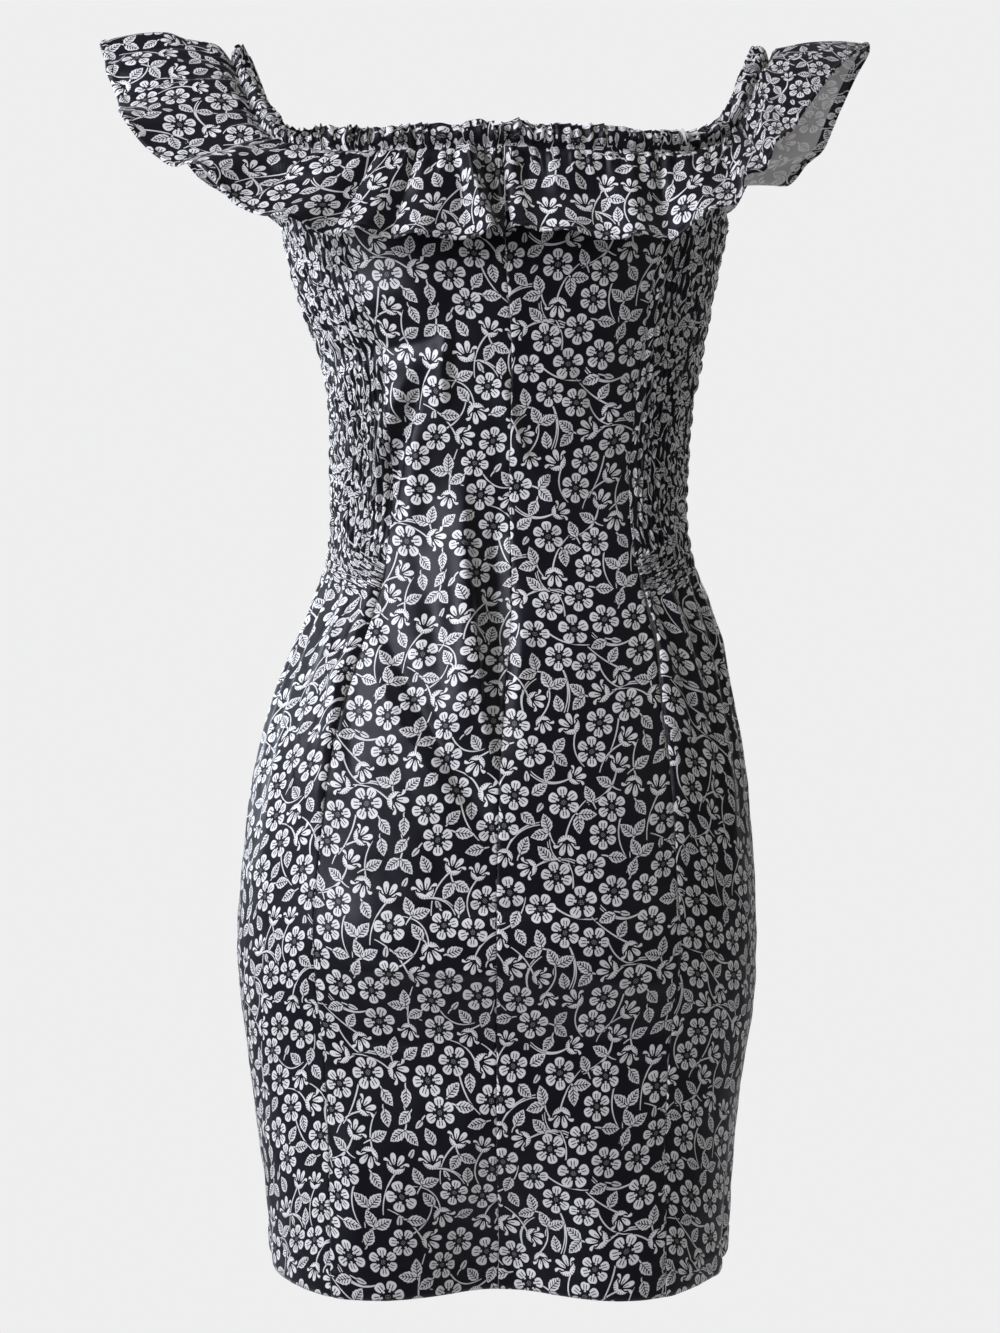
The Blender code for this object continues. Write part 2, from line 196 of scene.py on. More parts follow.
# the printed pattern, as sizes on the flat cloth
printSizes = {
    "repeat": (0.150, 0.168),  # width and length of the repeat
    "flowerPairs": 8, "flowerSingles": 13, "sideFlowers": 22, "leafPairs": 13, "leaves": 33, "buds": 8,
    "flowerRadius": 0.0100, "sideRadius": 0.0078, "leafRadius": 0.0047, "budRadius": 0.0024,
    "gap": 0.0005, "firstGap": 0.0120, "steps": 900, "seed": 20, "sixPetals": 0.8,
    "openStems": 0.55, "leafStems": 0.5, "stemTries": 60,
    "stemReach": (0.008, 0.028), "stemBow": (0.0006, 0.0050),
}
flowerKind, sideKind, leafKind, budKind, fiveKind = 1, 2, 3, 4, 5  # five is an open flower with five petals
facesAtOnce = 4000


def way(angle):
    return np.stack([np.cos(angle), np.sin(angle)], axis=-1)


def layOutPrint(sizes):
    # motifs are strewn over one repeat and pushed apart until they lie evenly close
    rng = np.random.default_rng(sizes["seed"])
    tile = np.array(sizes["repeat"])
    leafRadius = sizes["leafRadius"]
    motifs, groups, stems = [], [], []  # x, y, radius, kind, turn; motifs that move as one; x, y, x, y, bow

    def wrapped(gap):
        return (gap + tile / 2) % tile - tile / 2

    def add(group, place, radius, kind, turn):
        motifs.append((*place, radius, kind, turn))
        groups.append(group)

    wanted = {
        "pair": "flowerPairs", "single": "flowerSingles", "side": "sideFlowers",
        "leafPair": "leafPairs", "leaf": "leaves", "bud": "buds",
    }
    for kind, count in wanted.items():
        for _ in range(sizes[count]):
            place, turn, group = rng.random(2) * tile, rng.uniform(0, 2 * np.pi), len(motifs)
            size = rng.uniform(0.95, 1.04)
            if kind in ("pair", "single"):
                petals = flowerKind if rng.random() < sizes["sixPetals"] else fiveKind
                size = sizes["flowerRadius"] * rng.uniform(0.88, 1.04)
                add(group, place, size, petals, rng.uniform(0, 2 * np.pi))
            if kind == "pair":
                beside = place + way(turn) * size * 1.98
                add(group, beside, size * 0.97, flowerKind, rng.uniform(0, 2 * np.pi))
            if kind == "side":
                add(group, place, sizes["sideRadius"] * rng.uniform(0.78, 1.04), sideKind, turn)
            if kind == "leafPair":
                spread = rng.uniform(0.70, 0.85)
                for side in (-1, 1):
                    out = turn + side * spread
                    add(group, place + way(out) * leafRadius * 1.3, leafRadius, leafKind, out)
            if kind == "leaf":
                add(group, place, leafRadius * size, leafKind, turn)
            if kind == "bud":
                add(group, place, sizes["budRadius"] * size, budKind, turn)
    motifs, groups = np.array(motifs), np.array(groups)
    together = groups[:, None] == groups[None, :]
    radius = motifs[:, 2]
    for step in range(sizes["steps"]):
        reach = sizes["gap"] + sizes["firstGap"] * max(0, 1 - step / (0.7 * sizes["steps"]))
        away = wrapped(motifs[:, None, :2] - motifs[None, :, :2])
        gap = np.hypot(away[..., 0], away[..., 1]) + 1e-9
        close = np.clip(radius[:, None] + radius[None, :] + reach - gap, 0, None)
        close[together] = 0
        push = (away / gap[..., None] * close[..., None]).sum(axis=1) * 0.3
        for group in np.unique(groups):
            push[groups == group] = push[groups == group].mean(axis=0)
        motifs[:, :2] += push
    print("print relaxed, closest overlap", round(float(close.max()) * 1000, 2), "mm")

    def shownLength(start, foot, bow):
        # how much of a stem lies clear of every motif
        t = np.linspace(-1, 1, 21)[:, None]
        run = foot - start
        side = np.array([-run[1], run[0]]) / np.hypot(*run)
        points = (start + foot) / 2 + run / 2 * t + side * bow * (1 - t * t)
        away = wrapped(points[:, None] - motifs[None, :, :2])
        free = (np.hypot(away[..., 0], away[..., 1]) > motifs[:, 2] * 0.98).all(axis=1)
        return free.mean() * np.hypot(*run)

    openOnes = np.isin(motifs[:, 3], (flowerKind, fiveKind))
    flowers = motifs[openOnes | (motifs[:, 3] == sideKind)]
    for row, (x, y, size, kind, turn) in enumerate(motifs):
        place = np.array([x, y])
        fromSide = kind == sideKind
        if fromSide or (openOnes[row] and rng.random() < sizes["openStems"]):
            # the longest of some stems that lies clear of the other motifs
            best = 0
            for _ in range(sizes["stemTries"]):
                out = turn + np.pi + rng.uniform(-0.25, 0.25) if fromSide else rng.uniform(0, 2 * np.pi)
                start = place + way(out) * size * (0.80 if fromSide else 0.97)
                foot = start + way(out + rng.uniform(-0.7, 0.7)) * rng.uniform(*sizes["stemReach"])
                bow = rng.choice([-1, 1]) * rng.uniform(*sizes["stemBow"])
                shown = shownLength(start, foot, bow)
                if shown > best:
                    best, chosen = shown, (*start, *foot, bow)
            stems.append(chosen)
        elif kind == leafKind and together[row].sum() == 2:  # two leaves share a stem
            start = place - way(turn) * leafRadius * 1.3
            if row == together[row].argmax():
                foot = start - way(turn + rng.uniform(0.3, 1.1)) * rng.uniform(0.006, 0.015)
                stems.append((*start, *foot, rng.uniform(-0.0018, 0.0018)))
        elif not openOnes[row]:  # leaves and buds point away from the flower they grow beside
            gaps = wrapped(place - flowers[:, :2])
            gap = gaps[(np.hypot(gaps[:, 0], gaps[:, 1]) - flowers[:, 2]).argmin()]
            turn = math.atan2(gap[1], gap[0]) + rng.uniform(-1.2, 1.2)
            motifs[row, 4] = turn
            if rng.random() < sizes["leafStems"]:
                start = place - way(turn) * size * 1.1
                foot = start - way(turn) * rng.uniform(0.002, 0.008)
                stems.append((*start, *foot, rng.uniform(-0.0008, 0.0008)))
    return motifs, np.array(stems)


motifChart, stemChart = layOutPrint(printSizes)
print("print laid out:", len(motifChart), "motifs and", len(stemChart), "stems in one repeat")


def spreadChart(chart, low, high, columns=(0,), reach=0.03):
    # copies of one repeat's rows over the stretch of cloth from low to high
    tile = np.array(printSizes["repeat"])
    copies = []
    for i in range(math.floor((low[0] - reach) / tile[0]), math.ceil((high[0] + reach) / tile[0])):
        for j in range(math.floor((low[1] - reach) / tile[1]), math.ceil((high[1] + reach) / tile[1])):
            moved = chart.copy()
            for column in columns:
                moved[:, column:column + 2] += np.array([i, j]) * tile
            copies.append(moved)
    rows = np.concatenate(copies)
    inside = (rows[:, 0] > low[0] - reach) & (rows[:, 0] < high[0] + reach)
    return rows[inside & (rows[:, 1] > low[1] - reach) & (rows[:, 1] < high[1] + reach)]


def printOn(mesh, flat):
    # flat is each vertex's place on the flat cloth. every face keeps its nearest motif's and stem's places
    loops = np.empty(len(mesh.loops), int)
    mesh.loops.foreach_get("vertex_index", loops)
    corners = flat[loops]
    starts = np.empty(len(mesh.polygons), int)
    counts = np.empty(len(mesh.polygons), int)
    mesh.polygons.foreach_get("loop_start", starts)
    mesh.polygons.foreach_get("loop_total", counts)
    centre = np.add.reduceat(corners, starts, axis=0) / counts[:, None]
    faceOf = np.repeat(np.arange(len(counts)), counts)
    low, high = centre.min(axis=0), centre.max(axis=0)

    def nearestOf(awayFrom):
        # awayFrom gives the distances from some faces to every motif or stem
        parts = [centre[first:first + facesAtOnce] for first in range(0, len(centre), facesAtOnce)]
        return np.concatenate([awayFrom(part[:, None, 0], part[:, None, 1]).argmin(axis=1) for part in parts])

    motifs = spreadChart(motifChart, low, high)
    nearest = nearestOf(lambda x, y: np.hypot(x - motifs[:, 0], y - motifs[:, 1]) / motifs[:, 2])
    own = motifs[nearest][faceOf]
    gap = (corners - own[:, :2]) / own[:, 2:3]
    c, s = np.cos(own[:, 4]), np.sin(own[:, 4])
    local = np.stack([gap[:, 0] * c + gap[:, 1] * s, -gap[:, 0] * s + gap[:, 1] * c, own[:, 3]], axis=1)

    stems = spreadChart(stemChart, low, high, columns=(0, 2))
    middle = (stems[:, :2] + stems[:, 2:4]) / 2
    run = stems[:, 2:4] - stems[:, :2]
    half = np.hypot(run[:, 0], run[:, 1]) / 2
    along = run / (2 * half[:, None])

    def awayFromStems(x, y):
        gapX, gapY = x - middle[:, 0], y - middle[:, 1]
        onX, onY = gapX * along[:, 0] + gapY * along[:, 1], -gapX * along[:, 1] + gapY * along[:, 0]
        off = np.abs(onY - stems[:, 4] * (1 - np.clip(onX / half, -1, 1) ** 2))
        return np.maximum(off, np.abs(onX) - half)

    own = nearestOf(awayFromStems)[faceOf]
    gap = corners - middle[own]
    onX = (gap * along[own]).sum(axis=1)
    onY = -gap[:, 0] * along[own, 1] + gap[:, 1] * along[own, 0]
    stem = np.stack([onX / half[own], onY / mm, stems[own, 4] / mm], axis=1)

    for name, values in (("motif", local), ("stem", stem)):
        layer = mesh.attributes.new(name, "FLOAT_VECTOR", "CORNER")
        layer.data.foreach_set("vector", values.astype(np.float32).ravel())
    cloth = mesh.uv_layers.new(name="cloth")
    cloth.data.foreach_set("uv", corners.astype(np.float32).ravel())


def gridNormals(points):
    across = np.gradient(points, axis=1)
    down = np.gradient(points, axis=0)
    return unit(np.cross(down, across))


def sheetPiece(name, points, flat, thickness, plainFrom=None, turned=0, folded=0):
    # points and flat are rows of places, top to bottom, in space and on the flat cloth.
    # below the row plainFrom every second column is left out. the last rows stand for a hem turned in and the
    # first for cloth folded over, and get the print on both sides
    rows, columns = points.shape[:2]
    bm = bmesh.new()
    bmesh.ops.create_grid(bm, x_segments=columns - 1, y_segments=rows - 1, size=1)
    if plainFrom:
        below = 1 - 2 * plainFrom / (rows - 1)
        spare = []
        for edge in bm.edges:
            a, b = edge.verts[0].co, edge.verts[1].co
            odd = round((a.x + 1) / 2 * (columns - 1)) % 2
            if odd and abs(a.x - b.x) < 1e-6 and max(a.y, b.y) < below + 1e-5:
                spare.append(edge)
        bmesh.ops.dissolve_edges(bm, edges=spare, use_verts=True)
    mesh = bpy.data.meshes.new(name)
    bm.to_mesh(mesh)
    bm.free()
    places = np.empty(len(mesh.vertices) * 3)
    mesh.vertices.foreach_get("co", places)
    places = places.reshape(-1, 3)
    column = np.rint((places[:, 0] + 1) / 2 * (columns - 1)).astype(int)
    row = np.rint((1 - places[:, 1]) / 2 * (rows - 1)).astype(int)
    mesh.vertices.foreach_set("co", points[row, column].ravel())
    printOn(mesh, flat[row, column])
    for material in (printedCloth, printedReverse, printedCloth):
        mesh.materials.append(material)
    starts, corners = np.empty(len(mesh.polygons), int), np.empty(len(mesh.loops), int)
    mesh.polygons.foreach_get("loop_start", starts)
    mesh.loops.foreach_get("vertex_index", corners)
    doubled = np.minimum.reduceat(row[corners], starts) >= rows - 1 - turned
    doubled |= np.maximum.reduceat(row[corners], starts) <= folded
    mesh.polygons.foreach_set("material_index", doubled.astype(np.int32) * 2)
    mesh.shade_smooth()
    piece = show(name, mesh)
    wall = piece.modifiers.new("thickness", "SOLIDIFY")
    wall.thickness = thickness
    wall.offset = -1
    wall.material_offset = 1
    wall.material_offset_rim = 0
    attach(piece, "root")
    print("made", name, len(mesh.polygons), "faces")
    return piece


def show(name, data):
    made = bpy.data.objects.new(name, data)
    bpy.context.scene.collection.objects.link(made)
    return made


def lengthsAlong(points, axis):
    steps = np.linalg.norm(np.diff(points, axis=axis), axis=-1)
    total = np.cumsum(steps, axis=axis)
    zero = np.zeros_like(np.take(total, [0], axis=axis))
    return np.concatenate([zero, total], axis=axis)


def nodeMaker(tree):
    def fill(node, values):
        for place, value in values.items():
            if isinstance(value, bpy.types.NodeSocket):
                tree.links.new(value, node.inputs[place])
            else:
                node.inputs[place].default_value = value
        return node.outputs

    def make(kind, *inputs, named=(), **settings):
        node = tree.nodes.new(kind)
        for key, value in settings.items():
            setattr(node, key, value)
        return fill(node, {**dict(enumerate(inputs)), **dict(named)})
    return make, fill


def mathMaker(make):
    def calc(operation, *inputs):
        return make("ShaderNodeMath", *inputs, operation=operation)[0]
    return calc


def motifShapes(calc, x, y, kind):
    # ink and cover of each motif in its own coordinates, where 1 is its radius
    def times(p, q, plus=0.0):
        return calc("MULTIPLY_ADD", p, q, plus)

    def minus(p, q):
        return calc("SUBTRACT", p, q)

    def size(value):
        return calc("ABSOLUTE", value)

    def under(value, limit):
        return calc("LESS_THAN", value, limit)

    def over(value, limit):
        return calc("GREATER_THAN", value, limit)

    def near(value, centre, reach):
        return calc("COMPARE", value, centre, reach)

    def length(p, q):
        return calc("SQRT", times(p, p, times(q, q)))

    def both(*masks):
        kept = masks[0]
        for mask in masks[1:]:
            kept = times(kept, mask)
        return kept

    def either(*masks):
        kept = masks[0]
        for mask in masks[1:]:
            kept = calc("MAXIMUM", kept, mask)
        return kept

    def without(p, q):
        return times(p, minus(1.0, q))

    def oval(px, py, middle, half, breadth, widen=0.0):
        u = calc("DIVIDE", minus(px, middle), half)
        v = calc("DIVIDE", py, times(px, widen, breadth))
        return under(length(u, v), 1.0)

    def folded(r, angle, half):
        # polar coordinates folded into one spoke
        inside = calc("WRAP", angle, half, times(half, -1.0))
        return times(r, calc("COSINE", inside)), times(r, calc("SINE", inside))

    shapes = {}
    off = size(y)

    # open flower: five or six petals, each with two dark strokes, round a dark eye with dots on short threads
    five = near(kind, float(fiveKind), 0.1)
    share = times(five, math.pi / 5 - math.pi / 6, math.pi / 6)
    r, angle = length(x, y), calc("ARCTAN2", y, x)
    px, py = folded(r, angle, share)
    petal = oval(px, py, 0.655, 0.345, times(five, 0.045, 0.085), 0.325)
    strokes = both(near(minus(size(py), times(px, 0.06, 0.048)), 0.0, 0.029), near(px, 0.67, 0.15))
    halfShare = times(share, 0.5)
    dotX, dotY = folded(r, angle, halfShare)
    turned = minus(size(dotY), times(dotX, calc("TANGENT", halfShare)))
    dotRing = 0.44
    dots = under(length(minus(r, dotRing), turned), 0.058)
    threads = both(near(turned, 0.0, 0.022), under(r, dotRing))
    mottle = times(calc("SINE", times(x, 46.0)), calc("SINE", times(y, 41.0)))
    eye = both(under(r, 0.17), over(mottle, 0.15), 0.32)
    petals = both(without(petal, either(strokes, dots, threads)), times(px, 0.18, 0.84))
    shapes[flowerKind] = (either(petals, eye), under(r, 1.0))
    shapes[fiveKind] = shapes[flowerKind]

    # flower from the side: four petals under a scalloped cap, which is pleated at its rim
    fanX = calc("ADD", x, 0.50)
    fanTurn = calc("ARCTAN2", y, fanX)
    halfPetal = 0.33
    alongX, alongY = folded(length(fanX, y), calc("ADD", fanTurn, halfPetal), halfPetal)
    reach = times(times(fanTurn, fanTurn), -0.16, 0.92)  # the outer petals are shorter
    long = both(oval(alongX, alongY, reach, 0.49, 0.045, 0.190), under(size(fanTurn), 1.32))
    fold = both(near(alongY, 0.0, 0.034), near(alongX, 0.70, 0.22))
    capX, capOuter = minus(0.10, x), 0.93
    capR, capTurn = length(capX, y), calc("ARCTAN2", y, capX)
    ends = times(times(capTurn, capTurn), 0.10)
    scallop = times(size(calc("SINE", times(capTurn, 2.7))), 0.13)
    inner = minus(calc("ADD", ends, 0.60), scallop)
    cap = both(over(capR, inner), under(capR, minus(capOuter, ends)), under(size(capTurn), 1.35))
    pleats = both(under(size(calc("WRAP", capTurn, 0.12, -0.12)), 0.026), over(capR, 0.74))
    clear = both(over(capR, minus(inner, 0.13)), under(size(capTurn), 1.50))
    side = either(without(without(long, fold), clear), without(cap, pleats))
    shapes[sideKind] = (side, either(under(length(minus(x, 0.2), y), 0.80), under(capR, capOuter)))

    # leaf: light toothed edge and ribs on a darker blade
    along = calc("DIVIDE", x, 1.25)
    wide = times(minus(1.0, times(along, along)), times(along, -0.20, 0.72))
    toothed = times(wide, times(calc("WRAP", times(along, 2.4), 1.0, 0.0), 0.17, 0.90))
    blade = both(under(off, toothed), under(size(along), 1.0))
    slant = calc("WRAP", times(minus(along, times(off, 0.70)), 2.9), 1.0, 0.0)
    ribWidth = times(over(y, 0.0), -0.13, 0.44)  # finer on one side of the spine
    ribs = both(under(slant, ribWidth), under(off, times(wide, 0.68)), under(size(along), 0.76))
    spine = both(under(off, 0.050), under(along, 0.72))
    around = both(under(off, times(wide, 1.15, 0.08)), under(size(along), 1.06))
    shapes[leafKind] = (times(without(blade, either(ribs, spine)), 0.93), around)

    # bud: a small plain leaf with one dark rib
    bud = without(oval(x, y, 0.0, 1.35, 0.66, -0.16), both(under(off, 0.13), under(x, 0.7)))
    shapes[budKind] = (times(bud, 0.85), oval(x, y, 0.0, 1.6, 0.95))

    ink, cover = 0.0, 0.0
    for number, (drawn, hides) in shapes.items():
        here = near(kind, float(number), 0.1)
        ink = times(here, drawn, ink)
        cover = times(here, hides, cover)
    return ink, cover


def newGroup(name, inputs, outputs):
    group = bpy.data.node_groups.new(name, "ShaderNodeTree")
    for socket, kind in inputs:
        group.interface.new_socket(socket, in_out="INPUT", socket_type=kind)
    for socket in outputs:
        group.interface.new_socket(socket, in_out="OUTPUT", socket_type="NodeSocketFloat")
    make, _ = nodeMaker(group)
    return group, make, mathMaker(make), make("NodeGroupInput")


stemLook = {"width": 0.43, "taper": -0.12, "partedFrom": 2.6, "parting": 0.90, "ink": 0.9}  # widths in mm


def flowerPrintGroup():
    sockets = [("Motif", "NodeSocketVector"), ("Stem", "NodeSocketVector")]
    group, make, calc, given = newGroup("flowerPrint", sockets, ["Ink"])
    x, y, kind = make("ShaderNodeSeparateXYZ", given["Motif"])
    along, off, bow = make("ShaderNodeSeparateXYZ", given["Stem"])
    ink, cover = motifShapes(calc, x, y, kind)
    curve = calc("MULTIPLY", bow, calc("SUBTRACT", 1.0, calc("MULTIPLY", along, along)))
    gap = calc("ABSOLUTE", calc("SUBTRACT", off, curve))
    # the more bowed stems have a second line that parts from the first
    parts = calc("MULTIPLY", calc("GREATER_THAN", bow, stemLook["partedFrom"]), stemLook["parting"])
    parted = calc("MULTIPLY", calc("ADD", along, 1.0), parts)
    beside = calc("ABSOLUTE", calc("SUBTRACT", calc("SUBTRACT", off, curve), parted))
    thick = calc("MULTIPLY_ADD", along, stemLook["taper"], stemLook["width"])
    drawn = calc("LESS_THAN", calc("MINIMUM", gap, beside), thick)
    line = calc("MULTIPLY", drawn, calc("LESS_THAN", calc("ABSOLUTE", along), 1.0))
    clear = calc("SUBTRACT", stemLook["ink"], calc("MULTIPLY", cover, stemLook["ink"]))
    make("NodeGroupOutput", calc("MAXIMUM", ink, calc("MULTIPLY", line, clear)))
    return group


weaveLook = {"threads": 2600, "weave": 0.25, "crumple": 2.0, "crumpleScale": 60, "detail": 3, "wearScale": 18}


def sateenGroup():
    # fine weave and small crumples of the cloth as a height, and slow patches of wear
    group, make, calc, given = newGroup("sateenWeave", [("Cloth", "NodeSocketVector")], ["Height", "Wear"])
    across, down, _ = make("ShaderNodeSeparateXYZ", given["Cloth"])
    warp = calc("SINE", calc("MULTIPLY", across, weaveLook["threads"]))
    weft = calc("SINE", calc("MULTIPLY", down, weaveLook["threads"] * 1.2))
    weave = calc("MULTIPLY", calc("MULTIPLY", warp, weft), weaveLook["weave"])
    size = {"Scale": weaveLook["crumpleScale"], "Detail": weaveLook["detail"]}
    crumple = make("ShaderNodeTexNoise", given["Cloth"], named=size)[0]
    wear = make("ShaderNodeTexNoise", given["Cloth"], named={"Scale": weaveLook["wearScale"]})[0]
    make("NodeGroupOutput", calc("MULTIPLY_ADD", crumple, weaveLook["crumple"], weave), wear)
    return group


flowerPrint = flowerPrintGroup()
sateenWeave = sateenGroup()

clothLooks = {
    "printedCloth": {
        "ground": (0.0042, 0.0040, 0.0082), "ink": (0.80, 0.79, 0.77), "roughness": 0.44, "specular": 0.22,
    },
    "printedReverse": {
        "ground": (0.50, 0.49, 0.48), "ink": (0.88, 0.86, 0.82), "roughness": 0.72, "specular": 0.20,
    },
}
clothFinish = {
    "sheen": 0.14, "sheenRoughness": 0.30, "relief": 0.35, "reliefDepth": 0.0006,
    "faded": (0.22, 0.90), "rubbed": 0.14,
}


def clothMaterial(name):
    looks, finish = clothLooks[name], clothFinish
    material = bpy.data.materials.new(name)
    material.use_nodes = True
    make, fill = nodeMaker(material.node_tree)
    calc = mathMaker(make)
    motif = make("ShaderNodeAttribute", attribute_name="motif")["Vector"]
    stem = make("ShaderNodeAttribute", attribute_name="stem")["Vector"]
    cloth = make("ShaderNodeUVMap", uv_map="cloth")["UV"]
    ink = make("ShaderNodeGroup", node_tree=flowerPrint, named={"Motif": motif, "Stem": stem})["Ink"]
    weave = make("ShaderNodeGroup", node_tree=sateenWeave, named={"Cloth": cloth})
    colours = {"Factor": ink, "A": (*looks["ground"], 1), "B": (*looks["ink"], 1)}
    printed = make("ShaderNodeMix", data_type="RGBA", named=colours)["Result"]
    value = calc("MULTIPLY_ADD", weave["Wear"], *finish["faded"])
    worn = make("ShaderNodeHueSaturation", named={"Color": printed, "Value": value})["Color"]
    relief = {"Strength": finish["relief"], "Distance": finish["reliefDepth"], "Height": weave["Height"]}
    rubbed = finish["rubbed"]
    fill(material.node_tree.nodes["Principled BSDF"], {
        "Base Color": worn,
        "Roughness": calc("MULTIPLY_ADD", weave["Wear"], rubbed, looks["roughness"] - rubbed / 2),
        "Normal": make("ShaderNodeBump", named=relief)["Normal"],
        "Specular IOR Level": looks["specular"],
        "Sheen Weight": finish["sheen"],
        "Sheen Roughness": finish["sheenRoughness"],
    })
    return material


printedCloth = clothMaterial("printedCloth")
printedReverse = clothMaterial("printedReverse")

# soft creases given in mm: from x, z to x, z, bow, width on either side of the line, height outwards,
# and the side they lie on, 1 for the back and -1 for the front
creases = np.array([
    # the long fold beside the centre back seam, from the waist to the seat, steep on its right
    (-22, -205, -6, -374, -4.5, 15, 3.5, 6.2, 1), (-3, -215, 2, -388, -2, 3.5, 8, -2.8, 1),
    (-44, -270, -30, -350, 0, 9, 9, -1.4, 1),
    # valleys that slant from the left hip to the seat
    (-74.5, -295, -5, -420, -3, 3.5, 8.5, -3.6, 1), (-80, -318, -25, -405, -3, 7, 4, 2, 1),
    (-108, -300, -98, -395, 3, 6, 5, 1.6, 1),
    # curved crease left of the waist, and the ridges beside it
    (-45, -134, -70, -232, -6, 6.5, 3.2, -4.4, 1), (-33, -108, -35, -158, -1, 7, 3.5, 3, 1),
    (-56, -135, -78, -220, -7, 6, 4, 1.8, 1), (-50, -165, -56, -240, -2, 7, 7, 2, 1),
    # crease under the bust line at the left, with the fuller cloth above it
    (-108, -119, -36, -113, -2, 7, 4, -2.2, 1), (-104, -92, -28, -88, 2, 14, 14, 3.6, 1),
    # beside the seam above the waist
    (0, -132, 20, -196, -2, 7, 3.5, 2.6, 1), (20, -190, 38, -222, 0, 6, 5, 1.6, 1),
    (30, -232, 56, -262, 2, 6, 6, -1.4, 1), (42, -120, 64, -170, 3, 6, 5, -1.4, 1),
    (15, -280, 8, -345, 2, 6, 7, 2, 1),
    # right hip
    (100, -300, 118, -365, 2, 5, 5, 1.8, 1), (118, -310, 135, -390, 2, 6, 6, 1.8, 1),
    (108, -305, 126, -380, 2, 5.5, 5.5, -1.6, 1),
    # pulls across the seat and the fold under it
    (-58, -463, 38, -463, -1, 5, 2.5, -2.2, 1), (-125, -484, 125, -488, 3, 22, 24, 4, 1),
    (-100, -503, 15, -506, 3, 4, 6, 2.2, 1), (30, -500, 115, -512, -3, 6, 6, 1.4, 1),
    (-130, -550, 130, -556, 4, 24, 34, -6.2, 1), (-125, -572, 115, -576, 4, 40, 40, -3.8, 1),
    (-100, -556, -10, -563, 3, 8, 4, 1.8, 1), (20, -562, 110, -556, 3, 8, 4, 1.4, 1),
    # lower skirt
    (-95, -600, -88, -690, 2, 12, 8, 2, 1), (-20, -580, -26, -660, 2, 12, 10, 1.6, 1),
    (50, -590, 60, -690, 2, 12, 10, 1.6, 1),
    # the hidden front, as soft and as uneven
    (-60, -230, -30, -300, 3, 8, 6, 2.2, -1), (60, -235, 34, -305, 3, 8, 6, 2.2, -1),
    (-20, -225, -12, -290, 2, 7, 5, -2, -1), (20, -225, 12, -285, 2, 7, 5, -2, -1),
    (-85, -330, -30, -372, 4, 6, 8, -2, -1), (85, -335, 30, -380, 4, 6, 8, -2, -1),
    (-80, -400, 70, -406, 6, 8, 6, -1.8, -1), (-60, -520, 90, -514, 8, 11, 8, -2, -1),
    (-70, -150, 70, -152, 6, 9, 7, -1.6, -1),
]) * ([mm] * 8 + [1])
creaseScale = 1.35


def creaseHeight(points):
    x, y, z = points[..., 0], points[..., 1], points[..., 2]
    total = np.zeros(x.shape)
    for fromX, fromZ, toX, toZ, bow, lesser, greater, height, face in creases:
        runX, runZ = toX - fromX, toZ - fromZ
        length = math.hypot(runX, runZ)
        t = ((x - fromX) * runX + (z - fromZ) * runZ) / length**2
        off = ((z - fromZ) * runX - (x - fromX) * runZ) / length - bow * 4 * t * (1 - t)
        taper = smoothStep(t, -0.12, 0.30) * (1 - smoothStep(t, 0.70, 1.12))
        shown = taper * smoothStep(-y * face, 0, 0.03)
        total = total + creaseScale * height * bump(off, np.where(off < 0, lesser, greater)) * shown
    return total


def patchy(level, across, seed):
    # uneven from -1 to 1: each row of level holds its own values and hands over to the next in a short way
    values = np.random.default_rng(seed).uniform(-1, 1, (97, 401))
    i, j = np.floor(level).astype(int), np.floor(across).astype(int)
    t, s = smoothStep(level - i, 0.3, 0.7), smoothStep(across - j, 0, 1)

    def at(di, dj):
        return values[(i + di) % 97, (j + dj) % 401]

    return (at(0, 0) * (1 - s) + at(0, 1) * s) * (1 - t) + (at(1, 0) * (1 - s) + at(1, 1) * s) * t


panelSizes = {
    # start and end angle, columns, rows, where the print starts on the panel
    "back_right": (0, 39, 74, 330, (0.013, 0.021)),
    "back_left": (-39, 0, 74, 330, (0.067, 0.085)),
    "side_right": (39, 137, 240, 300, (0.110, 0.047)),
    "side_left": (-137, -39, 240, 300, (0.020, 0.120)),
    "front": (137, 223, 112, 250, (0.050, 0.010)),
}
panelLook = {
    "cloth": 0.0007,
    "seamRoll": (0.00022, 0.0010),  # height and width
    "pucker": (0.0008, 0.0035, 0.0022),  # height, distance from the seam, width
    "tug": (0.0009, 0.009),
    "topGather": (0.0005, 0.012),
    "slowWave": 0.0007, "quickWave": 0.0004,
    "hem": 0.0175, "hemStep": 0.0004, "hemGroove": (0.0007, 0.0012), "hemRoll": (0.0010, 0.0016),
}
shirring = {
    "strand": 0.0041, "rise": 0.0034, "sink": 0.0004, "elasticEvery": 0.0115, "fullness": 2.40, "tuck": 0.42,
    "fade": 0.040, "end": -0.252, "skirtFullness": 1.03, "rows": 112, "rowsTo": 0.36, "countRow": 60,
    "hipFolds": 9.5, "hipRise": 0.0034,
}


def shirringShare(z):
    return smoothStep(z, shirring["end"] - shirring["fade"] * 0.6, shirring["end"] + shirring["fade"] * 0.25)


